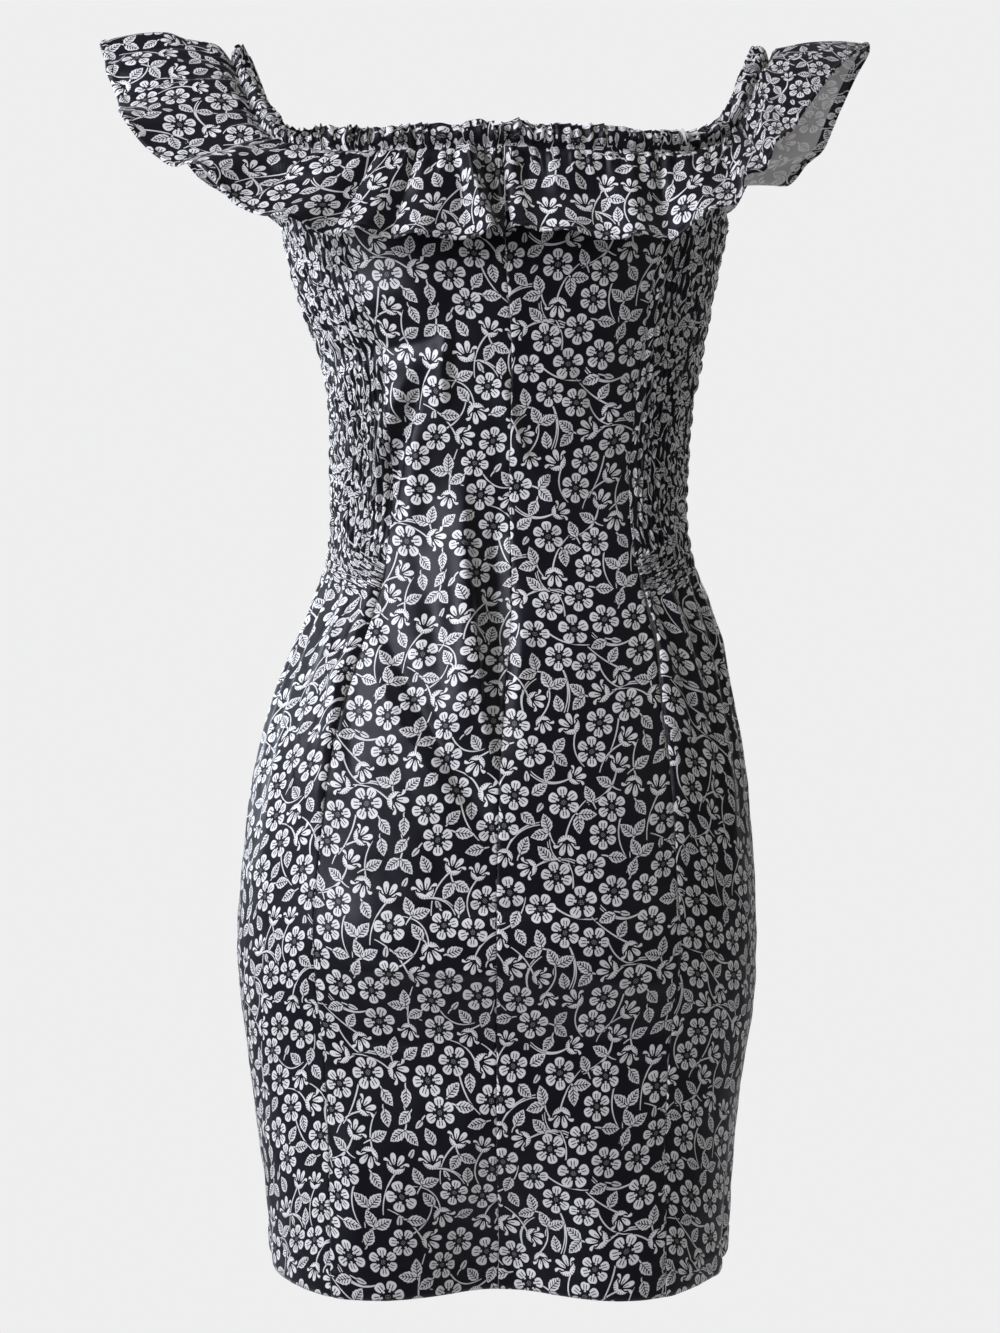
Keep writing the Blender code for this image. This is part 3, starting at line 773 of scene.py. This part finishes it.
def panelGrid(name):
    # angles and heights of the panel's places, evenly spaced across at each height
    start, stop, columns, rows, _ = panelSizes[name]
    shares = np.linspace(0, 1, rows + 1)
    if name.startswith("side"):
        upper = np.linspace(0, shirring["rowsTo"], shirring["rows"], endpoint=False)
        shares = np.concatenate([upper, np.linspace(shirring["rowsTo"], 1, rows + 1 - len(upper))])
    fine = np.linspace(start, stop, 121)
    middleTop = topEdge(np.array([(start + stop) / 2.0]))[0]
    angles = np.empty((len(shares), columns + 1))
    for row, share in enumerate(shares):
        z = middleTop * (1 - share) + bodySizes["hem"] * share
        lengths = lengthsAlong(bodyPoint(fine, np.full(fine.shape, z)), 0)
        wanted = np.linspace(0, lengths[-1], columns + 1)
        wanted[0] += bodySizes["seamGap"] / 2
        wanted[-1] -= bodySizes["seamGap"] / 2
        angles[row] = np.interp(wanted, lengths, fine)
    z = topEdge(angles[0])[None, :] * (1 - shares[:, None]) + bodySizes["hem"] * shares[:, None]
    return angles, z


def makePanel(name):
    look, shift = panelLook, panelSizes[name][-1]
    shirred = name.startswith("side")
    angles, z = panelGrid(name)
    base = bodyPoint(angles, z)
    outward = gridNormals(base)
    if dot(outward, base * np.array([1, 1, 0])).mean() < 0:
        outward = -outward
    across = lengthsAlong(base, 1)
    downward = lengthsAlong(base, 0)
    width = across[:, -1:]
    fromLeft, fromRight = across, width - across

    height = creaseHeight(base)
    # the cloth rolls in a little at its seams, and puckers beside the stitches of the side seams
    roll, rollWidth = look["seamRoll"]
    height = height - roll * (bump(fromLeft, rollWidth) + bump(fromRight, rollWidth))
    pucker, puckerAway, puckerWidth = look["pucker"]
    puckered = 0.5 + 0.5 * soft(downward * 520, across * 60, 3)
    toSide = {"back_left": fromLeft, "back_right": fromRight}.get(name, np.minimum(fromLeft, fromRight))
    puckered = pucker * bump(toSide - puckerAway, puckerWidth) * puckered
    height = height + puckered * (1 - shirringShare(z)) * smoothStep(z, -0.50, -0.36)
    if name.startswith("back"):
        tug, tugWidth = look["tug"]
        toSeam = fromLeft if name == "back_right" else fromRight
        tugged = np.sin(downward / 0.0125 + 1.8 * np.sin(downward / 0.033)) * bump(toSeam, tugWidth)
        height = height + tug * tugged * smoothStep(-z, 0.03, 0.08) * (1 - smoothStep(-z, 0.28, 0.36))
    if not shirred:
        # small gathers where the panel meets the neck casing
        gather, gatherReach = look["topGather"]
        gathers = np.sin(across / 0.0011 + 2 * np.sin(across / 0.009))
        height = height + gather * gathers * bump(downward, gatherReach)
    # slow unevenness of worn cloth
    height = height + look["slowWave"] * soft(across * 75, downward * 42, 11)
    height = height + look["quickWave"] * soft(across * 190, downward * 120, 12)

    flatAcross = across - width / 2
    if shirred:
        share = shirringShare(z)
        shareWide = across / width
        count = round(float(width[shirring["countRow"], 0]) / shirring["strand"])
        level = z / shirring["elasticEvery"]
        wander = 1.5 * patchy(level + 0.5, shareWide * count / 2.2, 21)
        wander = wander + 1.2 * soft(shareWide * 40, z * 60, 22)
        phase = 2 * np.pi * count * shareWide + wander
        pinch = 0.50 + 0.50 * np.abs(np.sin(np.pi * level)) ** 0.7
        uneven = 0.84 + 0.34 * patchy(level + 0.5, shareWide * count / 1.3 + 7, 24)
        ridge = np.abs(np.cos(phase / 2)) ** 0.9
        inside = smoothStep(np.minimum(fromLeft, fromRight), 0, 0.007)
        height = height + share * inside * (shirring["rise"] * ridge * pinch * uneven - shirring["sink"])
        # below the last elastic the fullness opens into soft folds that die out towards the hip
        opened = smoothStep(-z, 0.245, 0.275) * (1 - smoothStep(-z, 0.30, 0.47))
        turn = 2 * np.pi * shirring["hipFolds"] * shareWide + 1.6 * soft(shareWide * 7, z * 14, 25)
        height = height + shirring["hipRise"] * opened * (0.5 + 0.5 * np.sin(turn)) ** 1.5
        fullness = shirring["skirtFullness"] + (shirring["fullness"] - shirring["skirtFullness"]) * share
        flatAcross = flatAcross * fullness
    if shirred:
        tuck = share * shirring["tuck"] * shirring["strand"] * fullness / (2 * np.pi)
        flatAcross = flatAcross - tuck * np.sin(phase)
    # turned hem: a slightly thicker band that ends in a line of hidden stitches
    toHem = downward[-1:, :] - downward
    hem, (groove, grooveWidth), (hemRoll, hemRollWidth) = look["hem"], look["hemGroove"], look["hemRoll"]
    height = height + look["hemStep"] * (1 - smoothStep(toHem, hem - 0.0010, hem + 0.0005))
    height = height - groove * bump(toHem - hem - 0.0010, grooveWidth) - hemRoll * bump(toHem, hemRollWidth)

    points = base + outward * height[..., None]
    flat = np.stack([flatAcross + shift[0], shift[1] - downward], axis=-1)
    plainFrom = shirring["rows"] if shirred else None
    turned = int((toHem[:, 0] < hem).sum()) - 1
    piece = sheetPiece(name + "_cloth", points, flat, look["cloth"], plainFrom, turned)
    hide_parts(name)


for name in panelSizes:
    makePanel(name)

casingLook = {
    "columns": 900, "rows": 10, "cloth": 0.0006, "gathers": 250, "fullness": 1.4,
    "sink": 0.0002, "puff": 0.0011, "seam": 0.0014,
}


def makeCasing():
    look = casingLook
    place = np.linspace(0, 1, look["columns"] + 1)
    drop = np.linspace(-casingSizes["above"], casingSizes["below"], look["rows"] + 1)
    point, down, out, _ = ringFrame(place)
    gather = 0.5 + 0.5 * np.sin(2 * np.pi * look["gathers"] * place + 2.2 * np.sin(2 * np.pi * 31 * place))
    share = (drop - drop[0]) / (drop[-1] - drop[0])
    puff = np.sin(np.pi * share)[:, None] ** 0.6
    # the frill is sewn on where the elastic runs, so the casing stands up to it there
    raised = np.maximum(puff * (0.35 + 0.65 * gather[None, :]), bump(drop, look["seam"])[:, None])
    height = -look["sink"] - look["puff"] * (1 - raised)
    points = point[None] + down[None] * drop[:, None, None] + out[None] * height[..., None]
    length = lengthsAlong(point, 0) * look["fullness"]
    flat = np.stack(np.broadcast_arrays(length[None, :], -drop[:, None]), axis=-1)
    piece = sheetPiece("neck_casing_cloth", points, flat, look["cloth"])
    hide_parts("neck_casing")


frillLook = {
    "columns": 1300, "rows": 24, "headingRows": 8, "hemRows": 4, "cloth": 0.0005, "printFrom": (0.031, 0.012),
    "length": 0.95, "flatDepth": 0.067, "headingFullness": 1.6, "puff": 0.0034, "sewnDown": 0.0010,
    "wideGather": 0.0011, "fineGathers": 214, "fineGather": 0.0019, "fineTuck": 0.0016, "fold": 0.0034,
    "shoulders": ((0.775, 0.070), (0.220, 0.050)), "shoulderCalm": 0.45, "shoulderFold": 0.0018,
    "rolledHem": 0.0036, "rollHeight": 0.0010, "cockle": 0.0007,
    "dip": (0.0012, 0.0018, 0.0030), "dipWidth": 0.0024,
    "crumples": 148, "crumple": 0.0032, "crumpleTuck": 0.0023, "printLost": 0.0022,
    "sway": 0.0014, "slowSway": 0.0016, "drop": 0.0011,
}


def frillBase(place, level):
    # the frill's middle surface without its folds. level runs from 0 at the elastic to 1 at the hem
    point, down, out, _ = ringFrame(place)
    start = point + out * (frillSizes["gap"] + frillSizes["cloth"] / 2)
    found = smoothLookup(frillHem, place)
    end, bulge = found[..., :3], found[..., 4:5]
    across = unit(np.cross(end - start, np.cross(down, out)))
    lift = np.where(dot(across, out) > 0, across, -across)
    pull = start * 0.55 + end * 0.45 + lift * bulge
    level = level[..., None]
    return start * (1 - level) ** 2 + pull * 2 * level * (1 - level) + end * level**2


def frillNormal(grid, level, out):
    step, stepDown = 0.004, 0.05
    across = frillBase(np.minimum(grid + step, 1), level) - frillBase(np.maximum(grid - step, 0), level)
    down = frillBase(grid, np.minimum(level + stepDown, 1)) - frillBase(grid, np.maximum(level - stepDown, 0))
    normal = unit(np.cross(down, across))
    return np.where(dot(normal, out[None]) > 0, normal, -normal)


def unevenAlong(place, row, cells, seed):
    return patchy(place * 0 + row, place * cells, seed)


def frillHeight(look, place, level, turn, wander, dip):
    # how far the frill's folds stand out of its middle surface
    shoulder = sum(bump(place - middle, width) for middle, width in look["shoulders"])  # smoother there
    wave = smoothLookup(frillHem, place)[:, 3] * (1 - look["shoulderCalm"] * shoulder)
    height = wave * (0.35 + np.sin(turn)) * level**1.4
    wide = 1 - np.cos(2 * np.pi * frillSizes["gathers"] * place)
    height = height + look["wideGather"] * wide * np.clip(1 - level / 0.62, 0, 1)
    fine = np.abs(np.cos(np.pi * look["fineGathers"] * place + wander / 2))
    reach = 0.30 + 0.16 * unevenAlong(place, 2, look["fineGathers"] / 2.5, 33)
    height = height + look["fineGather"] * fine * np.clip(1 - level / reach, 0, 1) ** 1.2
    folds = patchy(level * 2.4 + 0.4, place * 46 + 0.9 * level, 31)
    folds = folds * np.sin(np.pi * np.clip(level, 0, 1)) ** 0.8
    height = height + (look["fold"] - look["shoulderFold"] * shoulder) * folds
    height = height + look["puff"] * (1 - np.exp(-level / 0.035)) * np.exp(-level / 0.5)
    # the narrow rolled hem, which cockles
    toHem = (1 - level) * look["flatDepth"]
    half = look["rolledHem"] / 2
    height = height + np.sqrt(np.clip(1 - ((toHem - half) / half) ** 2, 0, 1)) * look["rollHeight"]
    height = height - 0.0005 * bump(toHem - 0.0044, 0.0007)
    height = height + look["cockle"] * unevenAlong(place, 1, 190, 46) * bump(toHem, 0.0050)
    # at the centre back the left end turns outwards in a fold that runs down to the corner
    fromEnd, fromStart = (1 - place) * look["length"], place * look["length"]
    height = height + 0.0100 * bump(fromEnd - 0.006 - 0.014 * (1 - level), 0.0036)
    height = height - 0.0040 * bump(fromEnd - 0.001 - 0.009 * (1 - level), 0.0030)
    height = height + 0.0030 * bump(fromStart - 0.006, 0.0050) * (1 - level)
    height = height - 0.0016 * bump(np.minimum(fromEnd, fromStart), 0.0013)
    # creases that run down from the gathers, where the ruffles dip
    toDip = (dip - np.rint(dip)) * look["length"] / frillSizes["waves"]
    mean, spread, most = look["dip"]
    deep = np.clip(mean + spread * patchy(place * 0 + 9, np.rint(dip) + 60, 45), 0, most)
    height = height - deep * bump(toDip, look["dipWidth"]) * (1 - level) ** 0.7 * smoothStep(level, 0, 0.10)
    height = height + 0.0110 * bump(place - 0.813, 0.010) * level**3  # the fold on the left shoulder's hem
    # sewn flat onto the casing along the elastic
    free = 0.13 + 0.06 * unevenAlong(place, 4, 110, 47)
    return height * (0.10 + 0.90 * smoothStep(level / free, 0, 1)) - look["sewnDown"] * bump(level, 0.035)


def frillHeading(look, place, rise, first):
    # rows of the crumpled heading above the elastic, and how the print tucks into it
    _, down, out, along = ringFrame(place)
    fromEnd, fromStart = (1 - place) * look["length"], place * look["length"]
    uneven = 1.00 + 0.14 * unevenAlong(place, 5, 52, 41)
    uneven = uneven + 0.28 * bump(fromEnd - 0.013, 0.008) + 0.24 * bump(fromStart - 0.010, 0.007)
    turnUp = 2 * np.pi * look["crumples"] * place + 3.4 * unevenAlong(place, 3, 70, 42)
    strong = 0.62 + 0.5 * unevenAlong(place, 8, 55, 43)
    start = frillBase(place, 0 * place)
    heading = []
    for up in rise:
        tall = frillSizes["heading"] * up * uneven
        swell = look["puff"] * 1.15 * np.sin(np.pi * min(up * 1.15, 1)) ** 0.7
        crumple = look["crumple"] * strong * np.sin(turnUp + 1.6 * up) * up**0.5
        lean = tall * frillSizes["lean"] + first * (1 - up) + swell + crumple
        sway = look["sway"] * np.cos(turnUp + 0.5) * strong + look["slowSway"] * np.sin(turnUp * 0.37)
        drop = look["drop"] * unevenAlong(place, up * 3, 84, 44) * up
        sway, lean = sway * up + 0.0032 * bump(fromEnd, 0.010), lean + 0.0012 * bump(fromEnd, 0.010)
        heading.append(start - down * (tall + drop)[:, None] + out * lean[:, None] + along * sway[:, None])
    return np.array(heading), look["crumpleTuck"] * np.sin(turnUp)


def lyingFlat(skirt, level, dip):
    # below the gathers the print lies flat between two creases, the spare cloth is tucked into them
    lengths = lengthsAlong(skirt, 1)
    hemLength = lengths[-1]
    fold = np.floor(dip).astype(int)
    fold = fold - fold.min()
    members = [np.flatnonzero(fold == number) for number in range(fold.max() + 1)]
    earliest, middle, last = np.array([(own.min(), int(own.mean()), own.max()) for own in members])[fold].T
    span = np.maximum(lengths[:, last] - lengths[:, earliest], 0.002)
    spare = (hemLength[last] - hemLength[earliest]) / span
    gathered = 1 + (spare - 1) * bump(level, 0.22)
    return hemLength[middle] + (lengths - lengths[:, middle]) * gathered, hemLength


def makeFrill():
    look = frillLook
    place = np.linspace(0, 1, look["columns"] + 1)
    hemShare = look["rolledHem"] / look["flatDepth"]
    levels = np.concatenate([
        np.linspace(0, 1 - hemShare, look["rows"], endpoint=False),
        np.linspace(1 - hemShare, 1, look["hemRows"] + 1),
    ])
    grid = np.broadcast_to(place, (len(levels), len(place)))
    level = np.broadcast_to(levels[:, None], grid.shape)
    base = frillBase(grid, level)
    _, _, out, along = ringFrame(place)
    normal = frillNormal(grid, level, out)

    turn = frillSizes["waves"] * place + 0.28 * np.sin(2 * np.pi * 5.3 * place)
    turn = turn + 0.10 * np.sin(2 * np.pi * 11.7 * place)
    wander = 1.9 * np.sin(2 * np.pi * 23 * place + 0.6) + 1.2 * np.sin(2 * np.pi * 41.3 * place)
    dip = turn - 0.75
    height = frillHeight(look, place, level, 2 * np.pi * turn, wander, dip)
    # the left end laps over the right one
    fromEnd = (1 - place) * look["length"]
    lap = bump(fromEnd, 0.020) * (0.0020 + 0.0085 * level)
    height = height + 0.0012 * bump(fromEnd, 0.008) * level
    skirt = base + normal * height[..., None] + along[None] * lap[..., None]

    rise = np.linspace(1, 0, look["headingRows"], endpoint=False)
    heading, crumpleTuck = frillHeading(look, place, rise, height[0])
    points = np.concatenate([heading, skirt])

    lying, hemLength = lyingFlat(skirt, level, dip)
    fineTuck = look["fineTuck"] * np.sin(2 * np.pi * look["fineGathers"] * place + wander)
    lying = lying - fineTuck * np.clip(1 - level / 0.34, 0, 1) ** 1.5
    headingFlat = np.broadcast_to(hemLength - crumpleTuck, heading.shape[:2])
    # the frill is cut deeper over the arms, so the print isn't stretched there
    cutDepth = np.maximum(lengthsAlong(base, 0)[-1], look["flatDepth"])
    headingCut = frillSizes["heading"] * look["headingFullness"]
    lost = look["printLost"] * unevenAlong(place, 6, 300, 48)
    flatUp = [headingCut * up + lost * min(headingCut * up / 0.004, 1) for up in rise]
    flatAcross = np.concatenate([headingFlat, lying])
    flat = np.stack([flatAcross, np.concatenate([flatUp, -level * cutDepth])], axis=-1)
    piece = sheetPiece(
        "neck_frill_cloth", points, flat + np.array(look["printFrom"]), look["cloth"],
        turned=look["hemRows"] + 1, folded=look["headingRows"],
    )
    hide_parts("neck_frill")


makeCasing()
makeFrill()

studio = {
    "floorDrop": 1.25, "floorRadius": 4.0, "paper": (0.84, 0.84, 0.85, 1), "paperRoughness": 0.9,
    "backdrop": (0.86, 0.86, 0.865, 1), "fade": (0.2, 1.3), "fill": 0.13, "fillColour": (0.98, 0.965, 1.0, 1),
    "cameraDistance": 1.25, "cameraHeight": -0.318, "metresPerPixel": 0.000664, "pictureHeight": 1333,
}
lamps = {
    # place, aim, size, power, colour, spread in degrees
    "windowLight": ((-1.48, -0.88, 0.40), (-0.06, -0.09, -0.22), 1.15, 10.6, (0.87, 0.885, 1.0), 84),
    "skyLight": ((0.1, -1.0, 2.2), (0, 0, -0.2), 1.6, 6.0, (1.0, 0.98, 0.95), 180),
    "rimLight": ((-1.6, 1.3, 0.2), (0, 0, -0.3), 1.3, 20, (0.80, 0.88, 1.0), 180),
    "roomLight": ((1.5, -1.3, 0.1), (0, 0, -0.35), 1.2, 2.5, (1.0, 0.96, 0.94), 180),
    "frontLight": ((1.1, 1.8, 0.6), (0, 0, -0.30), 1.2, 16, (1.0, 0.98, 0.96), 180),
}


def makeFloor():
    bm = bmesh.new()
    bmesh.ops.create_circle(bm, cap_ends=True, segments=96, radius=studio["floorRadius"])
    bmesh.ops.translate(bm, verts=bm.verts, vec=(0, 0, -studio["floorDrop"]))
    mesh = bpy.data.meshes.new("floor")
    bm.to_mesh(mesh)
    bm.free()
    paper = bpy.data.materials.new("paper")
    paper.use_nodes = True
    nodes = paper.node_tree.nodes
    make, fill = nodeMaker(paper.node_tree)
    calc = mathMaker(make)
    look = {"Base Color": studio["paper"], "Roughness": studio["paperRoughness"]}
    surface = fill(nodes["Principled BSDF"], look)
    # far from the dress the paper fades into the backdrop
    x, y, _ = make("ShaderNodeSeparateXYZ", make("ShaderNodeTexCoord")["Object"])
    away = calc("SQRT", calc("MULTIPLY_ADD", x, x, calc("MULTIPLY", y, y)))
    fade = make("ShaderNodeMapRange", away, *studio["fade"], interpolation_type="SMOOTHSTEP")[0]
    share = calc("MULTIPLY", fade, make("ShaderNodeLightPath")["Is Camera Ray"])
    glow = make("ShaderNodeEmission", studio["backdrop"])[0]
    fill(nodes["Material Output"], {"Surface": make("ShaderNodeMixShader", share, surface[0], glow)[0]})
    mesh.materials.append(paper)
    show("floor", mesh)


def makeWorld():
    world = bpy.data.worlds.new("studioLight")
    bpy.context.scene.world = world
    world.use_nodes = True
    nodes = world.node_tree.nodes
    make, fill = nodeMaker(world.node_tree)
    lit = fill(nodes["Background"], {0: studio["fillColour"], 1: studio["fill"]})[0]
    shown = make("ShaderNodeBackground", studio["backdrop"])[0]
    seen = make("ShaderNodeLightPath")["Is Camera Ray"]
    fill(nodes["World Output"], {"Surface": make("ShaderNodeMixShader", seen, lit, shown)[0]})


def makeLamps():
    for name, (place, aim, size, power, colour, spread) in lamps.items():
        data = bpy.data.lights.new(name, "AREA")
        data.shape = "DISK"
        data.size = size
        data.energy = power
        data.spread = math.radians(spread)
        data.color = colour
        light = show(name, data)
        light.location = place
        light.rotation_euler = (Vector(aim) - Vector(place)).to_track_quat("-Z", "Y").to_euler()


def makeCamera():
    data = bpy.data.cameras.new("camera")
    data.sensor_width = 36
    shownHeight = studio["metresPerPixel"] * studio["pictureHeight"]
    data.lens = data.sensor_width * studio["cameraDistance"] / shownHeight
    data.clip_start = 0.05
    camera = show("camera", data)
    camera.location = (0, -studio["cameraDistance"], studio["cameraHeight"])
    camera.rotation_euler = (math.radians(90), 0, 0)
    bpy.context.scene.camera = camera
    bpy.context.scene.view_settings.view_transform = "Standard"


makeFloor()
makeWorld()
makeLamps()
makeCamera()
print("studio made with", len(lamps), "lamps")
